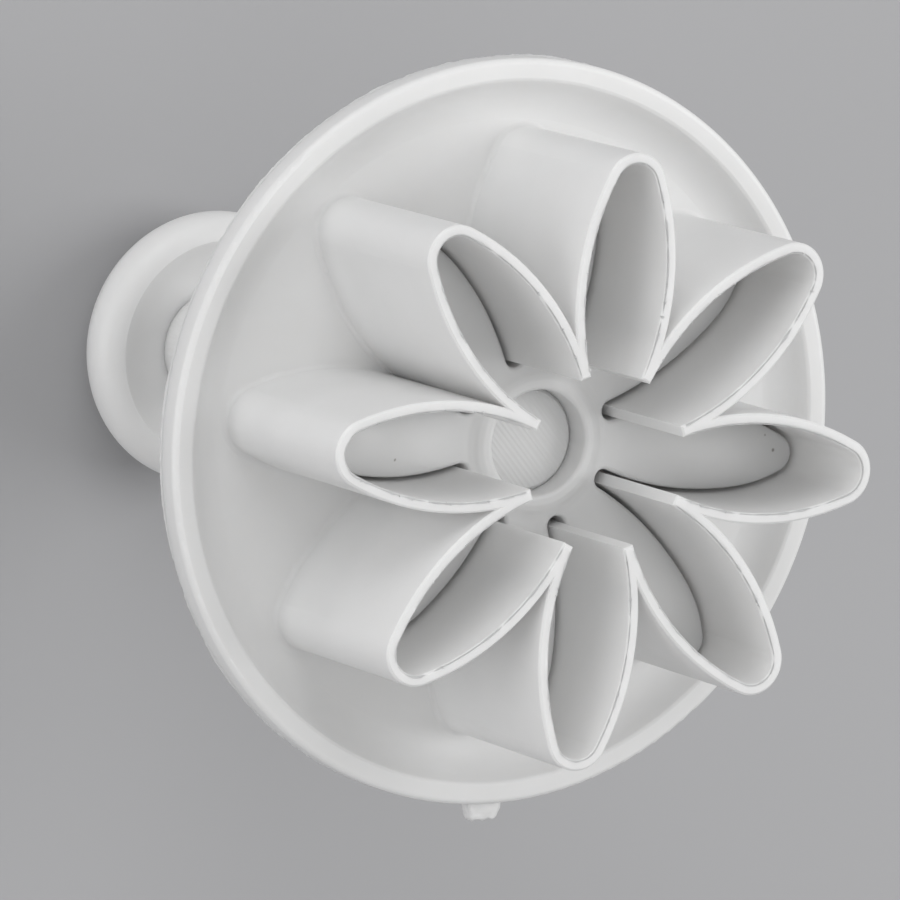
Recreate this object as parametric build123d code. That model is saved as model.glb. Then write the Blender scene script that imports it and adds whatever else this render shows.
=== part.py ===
from build123d import *
import math
import os

# Plunger cutter for rolled icing, standing on the flat end of its knob.
# Millimetres, +Z up along the plunger, origin at the centre of the knob's flat end.
# The cutting edge is uppermost. Petal 0 points along +X.

# Flower outline
petal_count = 8
petal_half_width = 4.05
petal_tip_length = 9.7
petal_tip_round = 2.5
wall_thickness = 0.8
fin_thickness = 0.8
fin_to_stem = 2.6
cutting_edge_bevel = 0.15

# Cutter body
wall_height = 14.5
dish_depth = 1.8
web_thickness = 2.0

# Flange
lip_width = 1.6
lip_inner_round = 0.3
rim_height = 2.2
rim_round = 0.45
plate_thickness = 1.6
cove_reach = 2.95
wall_foot_fillet = 0.4
wall_foot_margin = 0.15

# Barrel
barrel_length = 29.6
barrel_wall = 1.4
barrel_root_fillet = 2.2
barrel_end_round = 0.35

# Plunger stem, and how far it is pressed
press_stroke = 10.0
stem_radius = 3.9
stem_chamfer = 0.3
neck_step = 0.5
collar_thickness = 4.0
collar_inset = 1.2
collar_round = 0.3

# Press knob
knob_radius = 10.5
knob_rim_round = 2.0
knob_rim_height = 4.2
knob_flat_radius = 5.5
knob_dish_depth = 1.4
knob_floor = 1.4

# Stamp
hub_height = 4.3
mouth_rise = 0.4
mouth_rim_width = 0.35
petal_edge_rise = 0.75
petal_crown_rise = 1.45
petal_crown_skew = 1.3
petal_sections = 9
recess_depth = 2.0
recess_round = 0.25
stamp_edge_round = 0.3

# Return spring
spring_wire = 1.0
spring_open_turns = 7
spring_end_turns = 1
spring_end_pitch = 1.6
spring_steps_per_turn = 4
spring_samples_per_turn = 24

# Clearances, and how closely a value is matched
stop_clearance = 0.3
stamp_side_clearance = 0.3
stamp_seat_clearance = 0.1
slot_end_clearance = 0.65
stem_running_clearance = 0.1
collar_running_clearance = 0.35
spring_seat_clearance = 0.1
spring_stem_clearance = 1.3
spring_barrel_clearance = 1.2
cut_overrun = 1.0
match_share = 0.00001
upright_share = 0.05

# The long arc on a petal's side leaves the tip's arc smoothly. The petals stand as close to the
# centre as the fins between them allow
petal_angle = 360 / petal_count
half_angle = math.radians(petal_angle / 2)
petal_side_round = (petal_tip_length ** 2 + petal_half_width ** 2 - 2 * petal_tip_length * petal_tip_round)
petal_side_round /= 2 * (petal_half_width - petal_tip_round)
petal_overlap = wall_thickness - fin_thickness / 2
petal_widest_reach = petal_half_width * math.cos(half_angle) + petal_side_round * (1 - math.cos(half_angle))
petal_widest_reach = (petal_widest_reach - petal_overlap) / math.sin(half_angle)
petal_tip_reach = petal_widest_reach + petal_tip_length

# Radii worked outwards from the stem and from the flower
neck_radius = stem_radius + neck_step
fin_inner_reach = stem_radius + fin_to_stem
spring_mean_radius = stem_radius + spring_stem_clearance + spring_wire / 2
bore_radius = spring_mean_radius + spring_wire / 2 + spring_barrel_clearance
barrel_radius = bore_radius + barrel_wall
collar_radius = bore_radius - collar_running_clearance
dish_inner_radius = petal_tip_reach + wall_foot_fillet + wall_foot_margin
lip_inner_radius = dish_inner_radius + cove_reach
flange_radius = lip_inner_radius + lip_width

# Heights worked up from the knob's flat end
knob_crest_z = knob_rim_height + knob_rim_round
knob_dish_z = knob_crest_z - knob_dish_depth
barrel_end_z = knob_crest_z + press_stroke + stop_clearance
plate_bottom_z = barrel_end_z + barrel_length
dish_floor_z = plate_bottom_z + plate_thickness
web_bottom_z = dish_floor_z - web_thickness
lip_z = dish_floor_z + dish_depth
cutting_edge_z = lip_z + wall_height
collar_bottom_z = barrel_end_z + collar_inset
collar_top_z = collar_bottom_z + collar_thickness
hub_z = lip_z + hub_height
mouth_z = hub_z + mouth_rise
stem_end_z = mouth_z - recess_depth
stamp_bottom_z = dish_floor_z + stamp_seat_clearance


def direction(angle):
    """Unit vector at an angle in degrees, across the plunger."""
    return Vector(math.cos(math.radians(angle)), math.sin(math.radians(angle)))


def petal_face(inset):
    """One petal along +X, drawn inset from its outer outline: a round tip and two long side arcs
    that meet in a point near the centre."""
    side_centre = Vector(petal_widest_reach, petal_half_width - petal_side_round)
    side_round = petal_side_round - inset
    tip_centre = Vector(petal_tip_reach - petal_tip_round, 0)
    widest = side_centre + Vector(0, side_round)
    join = side_centre + (tip_centre - side_centre).normalized() * side_round
    point = side_centre - Vector(math.sqrt(side_round ** 2 - side_centre.Y ** 2), side_centre.Y)

    def mirrored(place):
        return Vector(place.X, -place.Y)

    return make_face(Wire([
        ThreePointArc(point, widest, join),
        ThreePointArc(join, Vector(petal_tip_reach - inset, 0), mirrored(join)),
        ThreePointArc(mirrored(join), mirrored(widest), point),
    ]))


def flower(face, hub_radius):
    """The petal face repeated round the centre and joined by a disc."""
    whole = Sketch() + Circle(hub_radius)
    for index in range(petal_count):
        whole += face.rotate(Axis.Z, index * petal_angle)
    return whole


def prism(face, bottom, top):
    """A flat shape at height zero, raised between two heights."""
    return Pos(0, 0, bottom) * extrude(face, top - bottom)


def tapered_flower(insets, radii, heights):
    """Petals and disc between two heights, with another inset and another disc radius at each."""
    ends = [Pos(0, 0, height) * petal_face(inset) for inset, height in zip(insets, heights)]
    petal = loft(ends, ruled=True)
    low, high = [at(radius, height) for radius, height in zip(radii, heights)]
    whole = turned(
        Line(at(0, heights[0]), low),
        Line(low, high),
        Line(high, at(0, heights[1])),
        Line(at(0, heights[1]), at(0, heights[0])),
    )
    for index in range(petal_count):
        whole += petal.rotate(Axis.Z, index * petal_angle)
    return whole


def turned(*edges):
    """A closed outline in the XZ plane turned once round the Z axis."""
    return revolve(make_face(Wire(edges)), Axis.Z)


def cylinder(radius, bottom, top):
    """A plain round solid between two heights."""
    return prism(Circle(radius), bottom, top)


def at(radius, height):
    """A point of a turned outline."""
    return Vector(radius, 0, height)


def rings(shape, radius=None, height=None):
    """The circular edges of a shape that have the given radius, the given height, or both."""
    found = []
    for edge in shape.edges().filter_by(GeomType.CIRCLE):
        right_radius = radius is None or math.isclose(edge.radius, radius, rel_tol=match_share)
        right_height = height is None or math.isclose(edge.center().Z, height, rel_tol=match_share)
        if right_radius and right_height:
            found.append(edge)
    return found


def rising_arc(inner_radius, low, outer_radius, high):
    """Arc that leaves a level line at (inner_radius, low) and climbs to (outer_radius, high)."""
    bend = ((outer_radius - inner_radius) ** 2 + (high - low) ** 2) / (2 * (high - low))
    half_turn = math.asin((outer_radius - inner_radius) / bend) / 2
    middle = at(inner_radius + bend * math.sin(half_turn), low + bend * (1 - math.cos(half_turn)))
    return ThreePointArc(at(inner_radius, low), middle, at(outer_radius, high))


def flange_and_barrel():
    """The turned part of the moulding: dished flange, barrel and web, without the flower."""
    rim_bottom_z = lip_z - rim_height
    dish = turned(
        Line(at(0, plate_bottom_z), at(0, dish_floor_z)),
        Line(at(0, dish_floor_z), at(dish_inner_radius, dish_floor_z)),
        rising_arc(dish_inner_radius, dish_floor_z, lip_inner_radius, lip_z),
        Line(at(lip_inner_radius, lip_z), at(flange_radius, lip_z)),
        Line(at(flange_radius, lip_z), at(flange_radius, rim_bottom_z)),
        Line(at(flange_radius, rim_bottom_z), at(lip_inner_radius, rim_bottom_z)),
        Line(at(lip_inner_radius, rim_bottom_z), at(dish_inner_radius, plate_bottom_z)),
        Line(at(dish_inner_radius, plate_bottom_z), at(0, plate_bottom_z)),
    )
    body = dish + cylinder(barrel_radius, barrel_end_z, dish_floor_z)
    body = fillet(rings(body, flange_radius), rim_round)
    body = fillet(rings(body, lip_inner_radius, lip_z), lip_inner_round)
    body = fillet(rings(body, barrel_radius, plate_bottom_z), barrel_root_fillet)
    return fillet(rings(body, barrel_radius, barrel_end_z), barrel_end_round)


def cutter_body():
    """Flange, barrel and the eight-petal cutting wall with its inward fins, one moulding."""
    outer = flower(petal_face(0), fin_inner_reach)
    pocket = flower(petal_face(wall_thickness), fin_inner_reach)
    bevel_z = cutting_edge_z - cutting_edge_bevel
    body = flange_and_barrel() + prism(outer, plate_bottom_z, bevel_z)
    foot = rings(body, petal_side_round, dish_floor_z) + rings(body, petal_tip_round, dish_floor_z)
    body = fillet(foot, wall_foot_fillet)
    body += tapered_flower((0, cutting_edge_bevel), (fin_inner_reach, fin_inner_reach),
                           (bevel_z, cutting_edge_z))
    body -= prism(pocket, dish_floor_z, bevel_z)
    body -= tapered_flower((wall_thickness, wall_thickness - 2 * cutting_edge_bevel),
                           (fin_inner_reach, fin_inner_reach + 2 * cutting_edge_bevel),
                           (bevel_z, cutting_edge_z + cutting_edge_bevel))
    body -= cylinder(bore_radius, barrel_end_z - cut_overrun, web_bottom_z)
    stem_hole = stem_radius + stem_running_clearance
    return body - cylinder(stem_hole, web_bottom_z - cut_overrun, dish_floor_z + cut_overrun)


def biarc(start, start_way, end, end_way):
    """Two arcs that join two points and keep both directions."""
    across = end - start
    ways = start_way + end_way
    squared = 2 * (1 - start_way.dot(end_way))
    reach = (math.sqrt(across.dot(ways) ** 2 + squared * across.dot(across)) - across.dot(ways)) / squared
    joint = (start + end + (start_way - end_way) * reach) / 2
    first = TangentArc(start, joint, tangent=start_way)
    return [first, TangentArc(joint, end, tangent=first % 1)]


def return_spring():
    """The coil as one unbroken round wire, with closer turns at both ends and straight tails."""
    bottom = collar_top_z + spring_seat_clearance + spring_wire / 2
    top = web_bottom_z - spring_seat_clearance - spring_wire / 2
    end_climb = spring_end_turns * spring_end_pitch
    open_pitch = (top - bottom - 2 * end_climb) / spring_open_turns
    all_turns = spring_open_turns + 2 * spring_end_turns

    def height_at(turn):
        from_end = min(turn, spring_end_turns)
        in_open = min(max(turn - spring_end_turns, 0), spring_open_turns)
        past_open = max(turn - spring_end_turns - spring_open_turns, 0)
        return bottom + (from_end + past_open) * spring_end_pitch + in_open * open_pitch

    def way_at(turn):
        """Direction of the wire: level at both tips, else the mean of the slopes on each side."""
        part = 1 / spring_steps_per_turn
        climb = height_at(min(turn + part, all_turns)) - height_at(max(turn - part, 0))
        inside = 0 < turn < all_turns
        slope = climb / (2 * part * 2 * math.pi * spring_mean_radius) if inside else 0
        sideways = direction(360 * turn + 90)
        return Vector(sideways.X, sideways.Y, slope).normalized()

    def point_at(turn):
        outward = direction(360 * turn) * spring_mean_radius
        return Vector(outward.X, outward.Y, height_at(turn))

    steps = all_turns * spring_steps_per_turn
    stops = [index / spring_steps_per_turn for index in range(steps + 1)]
    tail = spring_wire
    edges = [Line(point_at(0) - way_at(0) * tail, point_at(0))]
    for low, high in zip(stops, stops[1:]):
        edges += biarc(point_at(low), way_at(low), point_at(high), way_at(high))
    edges.append(Line(point_at(all_turns), point_at(all_turns) + way_at(all_turns) * tail))
    path = Wire(edges)
    section = Plane(origin=path @ 0, z_dir=path % 0) * Circle(spring_wire / 2)
    coil = sweep(section, path)

    # Least gap between points of the wire that lie at least half a turn apart
    samples = spring_samples_per_turn * all_turns
    points = [path @ (index / samples) for index in range(samples + 1)]
    apart = spring_samples_per_turn // 2
    least = min((a - b).length
                for index, a in enumerate(points)
                for b in points[index + apart:index + 3 * apart])
    print("return spring: least gap to itself", round(least - spring_wire, 3), "mm,",
          "volume over section times length",
          round(coil.volume / (math.pi * (spring_wire / 2) ** 2 * path.length), 4))
    return coil


def upper_outline(shape):
    """The edges where a shape's upright sides meet its top."""
    upright, upper = [], []
    for face in shape.faces():
        tilt = face.normal_at().Z
        if abs(tilt) < upright_share:
            upright += face.edges()
        elif tilt > 0:
            upper += face.edges()
    return [edge for edge in upper if any(edge.is_same(other) for other in upright)]


def domed_block(inner_reach, half_wide):
    """A block along one petal whose top is level at the hub, swells into a dome and falls again
    towards the tip."""
    sections = []
    last = petal_sections - 1
    for index in range(petal_sections):
        share = index / last
        reach = inner_reach + share * (petal_tip_reach - inner_reach)
        edge_z = hub_z + petal_edge_rise * math.sin(share * math.pi / 2) ** 2
        crown_z = edge_z + petal_crown_rise * math.sin(share ** petal_crown_skew * math.pi) ** 2
        left_top = Vector(reach, half_wide, edge_z)
        right_top = Vector(reach, -half_wide, edge_z)
        left_foot = Vector(reach, half_wide, stamp_bottom_z)
        right_foot = Vector(reach, -half_wide, stamp_bottom_z)
        if 0 < index < last:
            top = ThreePointArc(left_top, Vector(reach, 0, crown_z), right_top)
        else:
            top = Line(left_top, right_top)
        sections.append(make_face(Wire([
            top,
            Line(right_top, right_foot),
            Line(right_foot, left_foot),
            Line(left_foot, left_top),
        ])))
    return loft(sections)


def stamp():
    """The eight-petal stamp: domed petals round a low hub with a raised recess, slotted for the
    fins. Each slot's round end runs smoothly into the sides of the petals next to it."""
    side_gap = wall_thickness + stamp_side_clearance
    side_round = petal_side_round - side_gap
    side_centre = Vector(petal_widest_reach, petal_half_width - petal_side_round)
    slot_way = direction(petal_angle / 2)
    slot_inner_reach = fin_inner_reach - slot_end_clearance
    spare = side_round - slot_inner_reach
    slot_reach = (side_centre.dot(side_centre) - spare ** 2) / (2 * (slot_way.dot(side_centre) + spare))
    slot_half = slot_reach - slot_inner_reach
    slot_centre = slot_way * slot_reach
    touching = side_centre + (slot_centre - side_centre).normalized() * side_round

    # The hub is turned, then cut to an octagon whose flats carry the petals
    fall_start = stem_radius + mouth_rim_width
    fall_middle = (fall_start + slot_inner_reach) / 2
    fall_middle_z = (mouth_z + hub_z) / 2
    hub = turned(
        Line(at(0, stamp_bottom_z), at(0, mouth_z)),
        Line(at(0, mouth_z), at(fall_start, mouth_z)),
        rising_arc(fall_start, mouth_z, fall_middle, fall_middle_z),
        rising_arc(slot_inner_reach, hub_z, fall_middle, fall_middle_z),
        Line(at(slot_inner_reach, hub_z), at(slot_reach + slot_half, hub_z)),
        Line(at(slot_reach + slot_half, hub_z), at(slot_reach + slot_half, stamp_bottom_z)),
        Line(at(slot_reach + slot_half, stamp_bottom_z), at(0, stamp_bottom_z)),
    )
    corner_reach = touching.X / math.cos(half_angle)
    octagon = RegularPolygon(corner_reach, petal_count, rotation=petal_angle / 2)
    whole = hub & prism(octagon, stamp_bottom_z, mouth_z + cut_overrun)

    top_z = mouth_z + petal_edge_rise + petal_crown_rise
    petal = domed_block(touching.X, petal_half_width - wall_thickness)
    petal &= prism(petal_face(side_gap), stamp_bottom_z, top_z)
    slot = Pos(slot_centre) * cylinder(slot_half, stamp_bottom_z - cut_overrun, top_z)
    for index in range(petal_count):
        whole += petal.rotate(Axis.Z, index * petal_angle)
    for index in range(petal_count):
        whole -= slot.rotate(Axis.Z, index * petal_angle)
    whole = fillet(upper_outline(whole), stamp_edge_round)
    whole -= cylinder(stem_radius, stamp_bottom_z - cut_overrun, top_z)
    return fillet(rings(whole, stem_radius, mouth_z), recess_round)


def plunger_stem():
    """The rod that carries the stamp, with its guide collar and the neck that holds the knob."""
    rod = cylinder(stem_radius, collar_bottom_z, stem_end_z)
    neck = cylinder(neck_radius, knob_floor, collar_top_z)
    collar = cylinder(collar_radius, collar_bottom_z, collar_top_z)
    stem = rod + neck + collar
    stem = fillet(rings(stem, collar_radius), collar_round)
    return chamfer(rings(stem, height=stem_end_z) + rings(stem, height=knob_floor), stem_chamfer)


def press_knob():
    """Mushroom knob: flat crown, rolled rim, dished underside and the socket for the neck."""
    rim_centre = at(knob_radius - knob_rim_round, knob_rim_height)
    run = rim_centre.X - knob_flat_radius
    crown_round = (run ** 2 + rim_centre.Z ** 2 - knob_rim_round ** 2) / (2 * (rim_centre.Z - knob_rim_round))
    crown_centre = at(knob_flat_radius, crown_round)
    outward = (rim_centre - crown_centre).normalized()
    crown_join = crown_centre + outward * crown_round
    crown_middle_way = (outward + Vector(0, 0, -1)).normalized()
    crown_middle = crown_centre + crown_middle_way * crown_round
    crest = rim_centre + Vector(0, 0, knob_rim_round)
    rim_outermost = rim_centre + Vector(knob_rim_round, 0, 0)

    # The dish is one arc from the rim's crest down to a level floor at the neck
    dish = rising_arc(neck_radius, knob_dish_z, crest.X, crest.Z)
    return turned(
        Line(at(0, 0), at(knob_flat_radius, 0)),
        ThreePointArc(at(knob_flat_radius, 0), crown_middle, crown_join),
        ThreePointArc(crown_join, rim_outermost, crest),
        dish,
        Line(at(neck_radius, knob_dish_z), at(neck_radius, knob_floor)),
        Line(at(neck_radius, knob_floor), at(0, knob_floor)),
        Line(at(0, knob_floor), at(0, 0)),
    )


NODES = {
    "cutter_body": cutter_body,
    "stamp": stamp,
    "plunger_stem": plunger_stem,
    "return_spring": return_spring,
    "press_knob": press_knob,
}

os.makedirs("parts", exist_ok=True)
for name, make in NODES.items():
    solid = make()
    solid.label = name
    export_step(solid, f"parts/{name}.step")
    print(name, "volume", round(solid.volume, 1), "solids", len(solid.solids()))
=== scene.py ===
# %% [markdown]
# # A flower cutter for rolled icing
#
# The tool is a moulded hand cutter. A round flange carries a thin cutting wall in the shape of an
# eight-petal flower. Inside the wall a stamp rides on a sprung plunger, and a mushroom knob at the
# other end presses it. The solid model gives every piece its true size and place, so this lesson
# is about what makes plain white plastic look real: soft light, a finish with fine detail, and
# the small rags of plastic that a mould leaves.

# %% Load the solid model
import math

import bmesh
import bpy
from mathutils import Matrix, Vector, noise


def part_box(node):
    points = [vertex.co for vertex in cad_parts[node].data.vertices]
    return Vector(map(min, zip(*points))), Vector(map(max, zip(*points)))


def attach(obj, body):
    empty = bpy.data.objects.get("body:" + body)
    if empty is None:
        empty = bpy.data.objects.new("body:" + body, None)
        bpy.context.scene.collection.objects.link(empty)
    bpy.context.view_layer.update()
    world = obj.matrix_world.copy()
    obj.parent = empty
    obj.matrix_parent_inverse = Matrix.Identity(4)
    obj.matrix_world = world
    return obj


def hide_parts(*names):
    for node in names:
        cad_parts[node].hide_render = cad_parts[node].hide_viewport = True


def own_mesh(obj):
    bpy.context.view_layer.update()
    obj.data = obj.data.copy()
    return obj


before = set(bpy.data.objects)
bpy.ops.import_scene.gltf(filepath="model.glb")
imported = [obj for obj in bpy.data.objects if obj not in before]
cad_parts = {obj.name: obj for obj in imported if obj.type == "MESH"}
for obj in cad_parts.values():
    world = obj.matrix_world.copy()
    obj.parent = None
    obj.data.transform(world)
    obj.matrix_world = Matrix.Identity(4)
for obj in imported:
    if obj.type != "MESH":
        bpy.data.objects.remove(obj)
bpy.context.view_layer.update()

# %% [markdown]
# ## Sizes
#
# Blender works in metres here, and the model stands on its knob with +Z along the plunger. Most
# places follow from the boxes of the solid pieces. The few sizes that a box can't tell, such as
# the height of the wall above the lip, are driving dimensions, written once.

# %% Measure the solids
MM = 0.001

body_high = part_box("cutter_body")[1]
flange_radius = body_high.x
cutting_edge_z = body_high.z
lip_z = cutting_edge_z - 14.5 * MM
rim_height = 2.2 * MM
rim_round = 0.45 * MM

print(f"flange {2 * flange_radius / MM:.1f} mm across, {cutting_edge_z / MM:.1f} mm high")

# %% [markdown]
# ## Camera
#
# The picture looks down on the flower from in front, with the plunger lying across the frame, so
# the camera is rolled by more than a quarter turn. A long lens keeps the petals even in size. The
# camera aims at a point near the middle of the flange's lip.

# %% Place the camera
aim = Vector((4.245 * MM, -2.305 * MM, lip_z))
view_azimuth, view_elevation, view_roll = (
    math.radians(angle) for angle in (32.554, 58.833, 106.695))
view_distance = 726.57 * MM

back = Vector((math.sin(view_azimuth) * math.cos(view_elevation),
               -math.cos(view_azimuth) * math.cos(view_elevation),
               math.sin(view_elevation)))
level_right = Vector((0, 0, 1)).cross(back).normalized()
level_up = back.cross(level_right)
right = math.cos(view_roll) * level_right + math.sin(view_roll) * level_up
up = back.cross(right)

camera_data = bpy.data.cameras.new("photo_camera")
camera_data.lens = 400
camera_data.sensor_width = 36
camera_data.clip_start, camera_data.clip_end = 0.01, 10
camera = bpy.data.objects.new("photo_camera", camera_data)
bpy.context.scene.collection.objects.link(camera)
camera.matrix_world = Matrix.Translation(aim + view_distance * back) @ Matrix(
    [(right[i], up[i], back[i]) for i in range(3)]).to_4x4()
bpy.context.scene.camera = camera
print("camera at", [round(value / MM, 1) for value in camera.location])


def lamp_place(azimuth, elevation, distance):
    """A point round the cutter, from its bearing and height as seen from the aim."""
    turn, rise = math.radians(azimuth), math.radians(elevation)
    way = Vector((math.cos(turn) * math.cos(rise), math.sin(turn) * math.cos(rise), math.sin(rise)))
    return aim + distance * way


# %% [markdown]
# ## Floor and light
#
# White plastic shows its form only where light falls off. In the picture the petals' left walls
# are the brightest and their right walls the darkest, with little contrast between them. So two
# large soft lamps stand low on the left, one above, and one behind lights the insides of the far
# petals. The pale room fills the rest. The lamps are wide, because a small one would draw hard
# shadows inside the petals.

# %% Make the floor
FLOOR_HALF = 1.5
FLOOR_GREY = (0.42, 0.42, 0.43, 1)

floor_mesh = bpy.data.meshes.new("floor")
floor_corners = [(x * FLOOR_HALF, y * FLOOR_HALF, 0) for x, y in ((-1, -1), (1, -1), (1, 1), (-1, 1))]
floor_mesh.from_pydata(floor_corners, [], [(0, 1, 2, 3)])
floor = bpy.data.objects.new("floor", floor_mesh)
bpy.context.scene.collection.objects.link(floor)

floor_paint = bpy.data.materials.new("floor_paint")
floor_paint.use_nodes = True
floor_sockets = floor_paint.node_tree.nodes["Principled BSDF"].inputs
floor_sockets["Base Color"].default_value = FLOOR_GREY
floor_sockets["Roughness"].default_value = 0.7
floor_mesh.materials.append(floor_paint)


# %% Hang the lamps
def hang_lamp(name, place, size, power):
    """A square soft lamp that faces the cutter."""
    data = bpy.data.lights.new(name, "AREA")
    data.size = size
    data.energy = power
    lamp = bpy.data.objects.new(name, data)
    bpy.context.scene.collection.objects.link(lamp)
    lamp.location = place
    lamp.rotation_euler = (place - aim).to_track_quat("Z", "Y").to_euler()


# Bearing and rise are in degrees, power in watts.
LAMPS = {"left_lamp": (-42, 16, 2.2), "front_lamp": (-108, 28, 2.2), "top_lamp": (-60, 80, 0.8),
         "back_lamp": (150, 40, 3.3)}
LAMP_DISTANCE, LAMP_SIZE = 0.9, 0.6
ROOM_STRENGTH = 0.46

for lamp_name, (bearing, rise, power) in LAMPS.items():
    hang_lamp(lamp_name, lamp_place(bearing, rise, LAMP_DISTANCE), LAMP_SIZE, power)

world = bpy.data.worlds.new("pale_room")
world.use_nodes = True
room_sockets = world.node_tree.nodes["Background"].inputs
room_sockets["Color"].default_value = (1, 1, 1, 1)
room_sockets["Strength"].default_value = ROOM_STRENGTH
bpy.context.scene.world = world
bpy.context.scene.view_settings.view_transform = "Standard"
print(len(LAMPS), "lamps and a pale room")

# %% [markdown]
# ## Shader sums in plain Python
#
# A finish is a small program of nodes. Wrapping a socket in a class lets Python's own signs add
# the Math nodes, so that a bump reads like the formula it is. Every other node comes from one
# method of the finish.


# %% Wrap sockets
class Flow:
    """A number that varies over a surface. Sums of flows add Math nodes to the finish."""

    def __init__(self, finish, socket):
        self.finish, self.socket = finish, socket

    def math(self, operation, *values):
        settings = {"operation": operation}
        return self.finish.add("ShaderNodeMath", settings, dict(enumerate(values)))

    def __add__(self, other):
        return self.math("ADD", self, other)

    def __sub__(self, other):
        return self.math("SUBTRACT", self, other)

    def __rsub__(self, other):
        return self.math("SUBTRACT", other, self)

    def __mul__(self, other):
        return self.math("MULTIPLY", self, other)

    __radd__, __rmul__ = __add__, __mul__

    def below(self, limit, softness):
        """1 where the value is under the limit, falling to 0 over the softness."""
        return self.finish.add("ShaderNodeMapRange", {}, {
            "Value": self, "From Min": limit - softness, "From Max": limit + softness,
            "To Min": 1.0, "To Max": 0.0})


class Finish:
    """A material in the making: its nodes, its shader, and one method that adds any node."""

    def __init__(self, name, constants):
        self.material = bpy.data.materials.new(name)
        self.material.use_nodes = True
        self.tree = self.material.node_tree
        self.shader = self.tree.nodes["Principled BSDF"]
        self.place = self.add("ShaderNodeTexCoord", output="Object")
        for socket, value in constants.items():
            self.feed(self.shader.inputs[socket], value)

    def feed(self, socket, value):
        if isinstance(value, Flow):
            self.tree.links.new(value.socket, socket)
        else:
            socket.default_value = value

    def add(self, kind, settings=None, values=None, output=0):
        node = self.tree.nodes.new(kind)
        for name, value in (settings or {}).items():
            setattr(node, name, value)
        for name, value in (values or {}).items():
            self.feed(node.inputs[name], value)
        return Flow(self, node.outputs[output])

    def noise(self, scale, detail=2.0, roughness=0.5):
        """Noise with features of about one over the scale, in metres."""
        return self.add("ShaderNodeTexNoise", {}, {
            "Vector": self.place, "Scale": scale, "Detail": detail, "Roughness": roughness})

    def mix(self, share, first, second):
        """A colour between two others."""
        sockets = {0: share, 6: first, 7: second}
        return self.add("ShaderNodeMix", {"data_type": "RGBA"}, sockets, output=2)

    def raise_surface(self, height):
        """A bump, from a height in metres."""
        bump = self.add("ShaderNodeBump", {}, {"Height": height, "Distance": 1.0, "Strength": 1.0})
        self.feed(self.shader.inputs["Normal"], bump)


print("shader helpers ready")

# %% [markdown]
# ## White moulded plastic
#
# All four moulded pieces are the same off-white polypropylene: slightly see-through, satin, and
# never perfectly even. The finish holds a slow ripple where the plastic shrank, a fine grain from
# the mould, a hint of colour change, and a few dark specks burnt into the plastic. Most specks fall
# by chance, in cells of a few millimetres, and those that the picture shows on the stamp are given
# by their place. Extra relief, such as turning rings or file scratches, is handed in as a height.
# The counts of ripples, grains, clouds and cells are about so many to a metre.

# %% Mix the plastic
WHITE = (0.80, 0.80, 0.80, 1)
SHADE = (0.765, 0.765, 0.76, 1)
SPECK = (0.25, 0.23, 0.20, 1)
RIPPLES, GRAINS, CLOUDS, SPECK_CELLS = 110, 3500, 240, 190.0
RIPPLE_HEIGHT, GRAIN_HEIGHT = 0.03 * MM, 0.0025 * MM


def moulded_plastic(name, relief=None, speck_share=0.12, specks=()):
    """White plastic; relief is a function of the finish that returns an extra height, and specks
    are (place, radius) of dark grains at known places."""
    finish = Finish(name, {
        "IOR": 1.49, "Subsurface Weight": 0.55, "Subsurface Radius": (1.0, 0.97, 0.95),
        "Subsurface Scale": 1.8 * MM})
    ripple = finish.noise(RIPPLES, 1.5)
    grain = finish.noise(GRAINS, 3.0, 0.6)
    cloud = finish.noise(CLOUDS, 4.0, 0.6)
    speck_cell = {"Vector": finish.place, "Scale": SPECK_CELLS}
    speck_distance = finish.add("ShaderNodeTexVoronoi", {}, speck_cell, output="Distance")
    speck_colour = finish.add("ShaderNodeTexVoronoi", {}, speck_cell, output="Color")
    speck_draw = finish.add("ShaderNodeSeparateColor", {}, {"Color": speck_colour}, output="Red")
    speck = speck_distance.below(0.018, 0.006) * speck_draw.below(speck_share, 0.001)
    for place, radius in specks:
        reach = finish.add("ShaderNodeVectorMath", {"operation": "DISTANCE"}, {
            0: finish.place, 1: place}, output="Value")
        speck = speck + (reach + grain * (0.08 * MM)).below(radius, 0.06 * MM)

    height = ripple * RIPPLE_HEIGHT + grain * GRAIN_HEIGHT
    if relief:
        height = height + relief(finish)
    finish.raise_surface(height)
    plain = finish.mix(cloud, WHITE, SHADE)
    finish.feed(finish.shader.inputs["Base Color"], finish.mix(speck * 0.8, plain, SPECK))
    finish.feed(finish.shader.inputs["Roughness"], cloud * 0.14 + grain * 0.06 + 0.30)
    return finish.material


def dress(node, material):
    """Gives a solid piece its finish."""
    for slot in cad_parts[node].material_slots:
        slot.material = material


dress("cutter_body", moulded_plastic("cutter_plastic"))
dress("press_knob", moulded_plastic("knob_plastic"))
print("moulded plastic on the cutter and the knob")

# %% [markdown]
# ## Marks of the tools
#
# The stamp's hub was turned, so faint rings run round the recess. The stem's end was cut off and
# cleaned with a file, which left straight scratches at the bottom of the recess. Both are reliefs
# of a few hundredths of a millimetre or less. A mask keeps the rings close to the recess.


# %% Turn and file
RING_SPACING, RING_HEIGHT = 0.45 * MM, 0.004 * MM
TOOTH_SPACING, TOOTH_HEIGHT, SCRATCH_HEIGHT = 0.36 * MM, 0.022 * MM, 0.012 * MM


def turning_rings(finish):
    """Rings round the plunger, close to the recess."""
    axes = finish.add("ShaderNodeVectorMath", {"operation": "MULTIPLY"}, {0: finish.place, 1: (1, 1, 0)})
    radius = finish.add("ShaderNodeVectorMath", {"operation": "LENGTH"}, {0: axes}, output="Value")
    wave = radius.math("SINE", radius * (math.tau / RING_SPACING))
    return wave * radius.below(5.6 * MM, 0.6 * MM) * RING_HEIGHT


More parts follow.
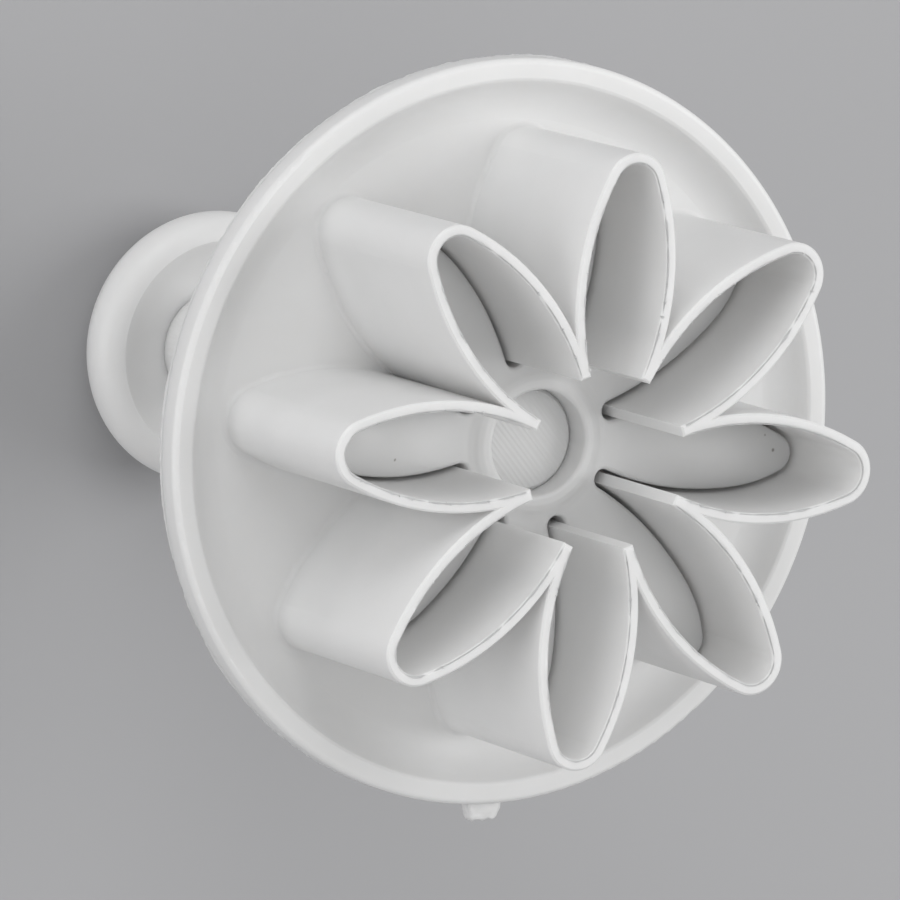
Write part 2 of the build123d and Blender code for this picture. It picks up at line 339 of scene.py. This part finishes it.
def file_scratches(finish):
    """Scratches across the stem's end, along Y: teeth at an even spacing, with uneven depth."""
    stretched = finish.add("ShaderNodeMapping", {}, {"Vector": finish.place, "Scale": (1, 0.05, 1),
                                                     "Rotation": (0, 0, math.radians(3))})
    across = finish.add("ShaderNodeSeparateXYZ", {}, {"Vector": stretched}, output="X")
    wander = finish.add("ShaderNodeTexNoise", {}, {"Vector": stretched, "Scale": 1500.0, "Detail": 1.0})
    fine = finish.add("ShaderNodeTexNoise", {}, {"Vector": stretched, "Scale": 9000.0, "Detail": 1.0})
    teeth = across.math("SINE", across * (math.tau / TOOTH_SPACING) + wander * 5.0)
    return teeth * wander * TOOTH_HEIGHT + fine * SCRATCH_HEIGHT


STAMP_SPECKS = (
    ((-13.93 * MM, 13.52 * MM, 55.14 * MM), 0.17 * MM),
    ((-14.08 * MM, 12.11 * MM, 55.24 * MM), 0.09 * MM),
    ((9.70 * MM, -7.47 * MM, 54.63 * MM), 0.13 * MM),
)
dress("stamp", moulded_plastic("stamp_plastic", turning_rings, specks=STAMP_SPECKS))
dress("plunger_stem", moulded_plastic("stem_plastic", file_scratches))
print("rings on the stamp, scratches on the stem")

# %% [markdown]
# ## Spring wire
#
# The spring is out of sight in the barrel, but a reader who slides the plunger out will look for
# it. Drawn wire is bright steel with fine lines along its length and a little oil.


# %% Draw the wire
BRIGHT_STEEL, OILED_STEEL = (0.60, 0.60, 0.62, 1), (0.44, 0.43, 0.42, 1)


def spring_wire(name):
    """Bright drawn steel under a little oil."""
    finish = Finish(name, {"Metallic": 1.0})
    stretched = finish.add("ShaderNodeMapping", {}, {"Vector": finish.place, "Scale": (1, 1, 6)})
    lines = finish.add("ShaderNodeTexNoise", {}, {"Vector": stretched, "Scale": 2400.0, "Detail": 3.0})
    oil = finish.noise(300, 3.0)
    finish.feed(finish.shader.inputs["Base Color"], finish.mix(oil, BRIGHT_STEEL, OILED_STEEL))
    finish.feed(finish.shader.inputs["Roughness"], oil * 0.2 + 0.2)
    finish.raise_surface(lines * (0.004 * MM))
    return finish.material


dress("return_spring", spring_wire("spring_steel"))
print("steel on the spring")

# %% [markdown]
# ## The petals' outline
#
# Two of the next pieces run along the top of the cutting wall, so they need its line. Each petal
# is a round tip that flows into two long arcs, which end at the fins between the petals. Three
# sizes of the outer outline give the rest, and a smaller outline inside it is the same figure
# with shorter radii. The pieces' line runs just under the wall's inner border.

# %% Draw a petal's outline
PETALS = 8
HALF_WIDTH, TIP_LENGTH, TIP_ROUND = 4.05 * MM, 9.7 * MM, 2.5 * MM
FIN_END = 6.5 * MM
side_round = (TIP_LENGTH ** 2 + HALF_WIDTH ** 2 - 2 * TIP_LENGTH * TIP_ROUND) / (
    2 * (HALF_WIDTH - TIP_ROUND))
tip_reach = 22.41 * MM
widest = tip_reach - TIP_LENGTH


def petal_line(inset, spacing, height):
    """Points round one petal along +X, from fin to fin, evenly spaced on each arc."""
    centre = Vector((widest, HALF_WIDTH - side_round))
    tip_centre = Vector((tip_reach - TIP_ROUND, 0))
    long_round, short_round = side_round - inset, TIP_ROUND - inset
    joint = math.atan2(-centre.y, tip_centre.x - centre.x)
    start = math.pi / 2 + math.asin((widest - FIN_END) / long_round)
    half = []
    steps = round((start - joint) * long_round / spacing)
    for index in range(steps):
        turn = start + (joint - start) * index / steps
        half.append((centre.x + long_round * math.cos(turn), centre.y + long_round * math.sin(turn)))
    steps = round(joint * short_round / spacing)
    for index in range(steps):
        turn = joint * (1 - index / steps)
        half.append((tip_centre.x + short_round * math.cos(turn), short_round * math.sin(turn)))
    line = half + [(tip_reach - inset, 0)] + [(x, -y) for x, y in reversed(half)]
    return [Vector((x, y, height)) for x, y in line]


def flower_lines(name, inset, spacing, height):
    """A mesh of bare edges: the petal's line, once for each petal."""
    line = petal_line(inset, spacing, height)
    spots, edges = [], []
    for petal in range(PETALS):
        turn = Matrix.Rotation(math.tau * petal / PETALS, 3, "Z")
        edges += [(len(spots) + index, len(spots) + index + 1) for index in range(len(line) - 1)]
        spots += [turn @ spot for spot in line]
    mesh = bpy.data.meshes.new(name)
    mesh.from_pydata(spots, edges, [])
    return mesh


EDGE_INSET, EDGE_DEPTH, SPOT_SPACING = 0.68 * MM, 0.07 * MM, 0.12 * MM
inner_line = flower_lines("inner_line", EDGE_INSET, SPOT_SPACING, cutting_edge_z - EDGE_DEPTH)
print(len(inner_line.vertices), "points along the inside of the cutting edge")

# %% [markdown]
# ## Geometry Nodes
#
# A mould that closes on hot plastic leaves thin rags of it along its joints. They follow a line
# and differ from place to place, which is what Geometry Nodes are good at: a line goes in, noise
# sets the thickness, and a tube or a scatter of grains comes out. A small class builds such a
# tree, sets its named inputs and turns the result into a plain mesh.


# %% Wrap a tree
NOISE_USUAL = 0.35, 0.7


class Growth:
    """A Geometry Nodes tree: named inputs, any node by one method, and a plain mesh at the end."""

    def __init__(self, name, inputs):
        self.name = name
        self.group = bpy.data.node_groups.new(name, "GeometryNodeTree")
        sockets = self.group.interface
        sockets.new_socket("Line", in_out="INPUT", socket_type="NodeSocketGeometry")
        sockets.new_socket("Piece", in_out="OUTPUT", socket_type="NodeSocketGeometry")
        self.values = {}
        for label, value in inputs.items():
            kind = "NodeSocketInt" if isinstance(value, int) else "NodeSocketFloat"
            socket = sockets.new_socket(label, in_out="INPUT", socket_type=kind)
            self.values[socket.identifier] = value
        self.given = self.group.nodes.new("NodeGroupInput").outputs
        self.end = self.group.nodes.new("NodeGroupOutput").inputs

    def add(self, kind, settings=None, values=None, output=0):
        node = self.group.nodes.new(kind)
        for name, value in (settings or {}).items():
            setattr(node, name, value)
        for name, value in (values or {}).items():
            if isinstance(value, bpy.types.NodeSocket):
                self.group.links.new(value, node.inputs[name])
            else:
                node.inputs[name].default_value = value
        return node.outputs[output]

    def noise(self, scale, low, high):
        """A value that wanders between two others along the line."""
        wander = self.add("ShaderNodeTexNoise", {}, {
            "Vector": self.add("GeometryNodeInputPosition"), "Scale": scale, "Detail": 2.0})
        return self.add("ShaderNodeMapRange", {}, {
            "Value": wander, "From Min": NOISE_USUAL[0], "From Max": NOISE_USUAL[1],
            "To Min": low, "To Max": high})

    def harvest(self, line, shape, material):
        """Ends the tree, runs it on the line and keeps the result as a plain mesh."""
        real = self.add("GeometryNodeRealizeInstances", {}, {"Geometry": shape})
        painted = self.add("GeometryNodeSetMaterial", {}, {"Geometry": real, "Material": material})
        self.group.links.new(painted, self.end[0])
        stock = bpy.data.objects.new(self.name + "_stock", line)
        bpy.context.scene.collection.objects.link(stock)
        modifier = stock.modifiers.new(self.name, "NODES")
        modifier.node_group = self.group
        for identifier, value in self.values.items():
            modifier[identifier] = value
        grown = stock.evaluated_get(bpy.context.evaluated_depsgraph_get())
        mesh = bpy.data.meshes.new_from_object(grown)
        bpy.data.objects.remove(stock)
        return keep_piece(self.name, mesh)


def keep_piece(name, mesh):
    """A finished piece, at the origin, that moves with the cutter's body."""
    piece = bpy.data.objects.new(name, mesh)
    bpy.context.scene.collection.objects.link(piece)
    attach(piece, "cutter")
    print(name, len(mesh.polygons), "faces")
    return piece


rag_plastic = moulded_plastic("rag_plastic", speck_share=0.0)

# %% [markdown]
# ## Ragged cutting edge
#
# The flat top of the wall is where the two halves of the mould met. Its inner border isn't clean:
# a thin bead runs along it, and small grains of plastic cling to it here and there. The bead is a
# tube whose thickness wanders, and the grains are scattered by chance on the same line.

# %% Run the bead
bead = Growth("edge_bead", {"Thickness": 0.07 * MM})
bead_curve = bead.add("GeometryNodeMeshToCurve", {}, {"Mesh": bead.given["Line"]})
bead_profile = bead.add("GeometryNodeCurvePrimitiveCircle", {}, {
    "Resolution": 6, "Radius": bead.given["Thickness"]})
bead_tube = bead.add("GeometryNodeCurveToMesh", {}, {
    "Curve": bead_curve, "Profile Curve": bead_profile, "Scale": bead.noise(900.0, 0.45, 1.6),
    "Fill Caps": True})
bead.harvest(inner_line, bead_tube, rag_plastic)

# %% Scatter the grains
grains = Growth("edge_grains", {"Share": 0.06, "Grain": 0.12 * MM, "Seed": 7})
chosen = grains.add("FunctionNodeRandomValue", {"data_type": "BOOLEAN"}, {
    "Probability": grains.given["Share"], "Seed": grains.given["Seed"]}, output=3)
lump = grains.add("GeometryNodeMeshIcoSphere", {}, {"Radius": grains.given["Grain"], "Subdivisions": 2})
lump_turn = grains.add("FunctionNodeRandomValue", {"data_type": "FLOAT_VECTOR"}, {1: (6.2, 6.2, 6.2)})
lump_size = grains.add("FunctionNodeRandomValue", {"data_type": "FLOAT_VECTOR"}, {
    0: (0.4, 0.4, 0.3), 1: (1.7, 1.2, 0.9)})
scattered = grains.add("GeometryNodeInstanceOnPoints", {}, {
    "Points": grains.given["Line"], "Selection": chosen, "Instance": lump,
    "Rotation": lump_turn, "Scale": lump_size})
grains.harvest(inner_line, scattered, rag_plastic)

# %% [markdown]
# ## Flash on the rim
#
# The flange's lower edge is the other joint of the mould. A fine line of flash stands out along
# it, thicker in some stretches and almost gone in others. It is a tube again, on a circle.

# %% Run the flash
flash_inset = 0.3 * rim_round
flash = Growth("rim_flash", {"Radius": flange_radius - flash_inset, "Thickness": 0.13 * MM})
flash_circle = flash.add("GeometryNodeCurvePrimitiveCircle", {}, {
    "Resolution": 900, "Radius": flash.given["Radius"]})
flash_profile = flash.add("GeometryNodeCurvePrimitiveCircle", {}, {
    "Resolution": 6, "Radius": flash.given["Thickness"]})
flash_size = flash.add("ShaderNodeMath", {"operation": "ADD"}, {
    0: flash.noise(1500.0, 0.3, 1.0), 1: flash.noise(130.0, 0.0, 1.3)})
flash_tube = flash.add("GeometryNodeCurveToMesh", {}, {
    "Curve": flash_circle, "Profile Curve": flash_profile, "Scale": flash_size})
flash_raised = flash.add("GeometryNodeTransform", {}, {
    "Geometry": flash_tube, "Translation": (0, 0, lip_z - rim_height + flash_inset)})
flash.harvest(bpy.data.meshes.new("no_line"), flash_raised, rag_plastic)

# %% [markdown]
# ## Gate stub
#
# The plastic entered the mould through a gate at the flange's rim. Where the sprue was cut off, a
# rough stub is left, about as wide as a match and a little over a millimetre long. A block is cut
# into small faces, narrowed outwards, and roughened by noise, more so at its torn end. The noise
# has a fixed seed, so the stub is torn the same way each time.

# %% Cut the stub
STUB_AZIMUTH = math.radians(49)
STUB_SEED = 8
stub_wide, stub_long, stub_high = 2.7 * MM, 1.7 * MM, 1.3 * MM
stub_past_rim, stub_under_lip = 0.45 * MM, 1.45 * MM

noise.seed_set(STUB_SEED)
stub_form = bmesh.new()
bmesh.ops.create_cube(stub_form, size=1)
bmesh.ops.subdivide_edges(stub_form, edges=stub_form.edges[:], cuts=9, use_grid_fill=True)
stub_place = Matrix.Rotation(STUB_AZIMUTH, 4, "Z") @ Matrix.Translation(
    (flange_radius + stub_past_rim, 0, lip_z - stub_under_lip))
for vertex in stub_form.verts:
    outward = vertex.co.x + 0.5
    narrow = 1 - 0.3 * outward ** 2
    rough = noise.noise_vector(vertex.co * 3.1) * (0.08 + 0.3 * outward) + noise.noise_vector(
        vertex.co * 9) * 0.06
    vertex.co = stub_place @ Vector((
        (vertex.co.x + 0.35 * rough.x) * stub_long,
        (vertex.co.y * narrow + 0.2 * rough.y) * stub_wide,
        (vertex.co.z * narrow + 0.4 * rough.z) * stub_high))
stub_mesh = bpy.data.meshes.new("gate_stub")
stub_form.to_mesh(stub_mesh)
stub_form.free()
stub_mesh.materials.append(rag_plastic)
for face in stub_mesh.polygons:
    face.use_smooth = True
keep_piece("gate_stub", stub_mesh)

# %% [markdown]
# ## Return spring
#
# The solid model's coil is rigid, but a real spring closes up as the knob is pressed. So the coil
# is wound again here, on the same line: seven open turns, with a closer turn at each end and a
# short straight tail. A tube follows that line, and the finished coil stands for the solid one.

# %% Wind the spring
coil_low, coil_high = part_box("return_spring")
wire = 1.0 * MM
coil_mean = (coil_high.x - coil_low.x) / 2 - wire / 2
OPEN_TURNS, END_PITCH, STEPS = 7, 1.6 * MM, 72
coil_bottom, coil_top = coil_low.z + wire / 2, coil_high.z - wire / 2
open_pitch = (coil_top - coil_bottom - 2 * END_PITCH) / OPEN_TURNS


def coil_point(turn):
    """A point of the wire's line, counted in turns from its lower end."""
    in_open = min(max(turn - 1, 0), OPEN_TURNS)
    in_ends = min(turn, 1) + max(turn - 1 - OPEN_TURNS, 0)
    angle = math.tau * turn
    return Vector((coil_mean * math.cos(angle), coil_mean * math.sin(angle),
                   coil_bottom + in_open * open_pitch + in_ends * END_PITCH))


winding = [coil_point(index / STEPS) for index in range((OPEN_TURNS + 2) * STEPS + 1)]
lower_tail, upper_tail = Vector((0, -wire, 0)), Vector((0, wire, 0))
winding = [winding[0] + lower_tail] + winding + [winding[-1] + upper_tail]
coil_line = bpy.data.meshes.new("coil_line")
coil_line.from_pydata(winding, [(index, index + 1) for index in range(len(winding) - 1)], [])

coil = Growth("coil_spring", {"Wire radius": wire / 2})
coil_curve = coil.add("GeometryNodeMeshToCurve", {}, {"Mesh": coil.given["Line"]})
coil_section = coil.add("GeometryNodeCurvePrimitiveCircle", {}, {
    "Resolution": 14, "Radius": coil.given["Wire radius"]})
coil_tube = coil.add("GeometryNodeCurveToMesh", {}, {
    "Curve": coil_curve, "Profile Curve": coil_section, "Fill Caps": True})
coil_spring = coil.harvest(coil_line, coil_tube, spring_wire("wire_steel"))
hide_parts("return_spring")

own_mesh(coil_spring)
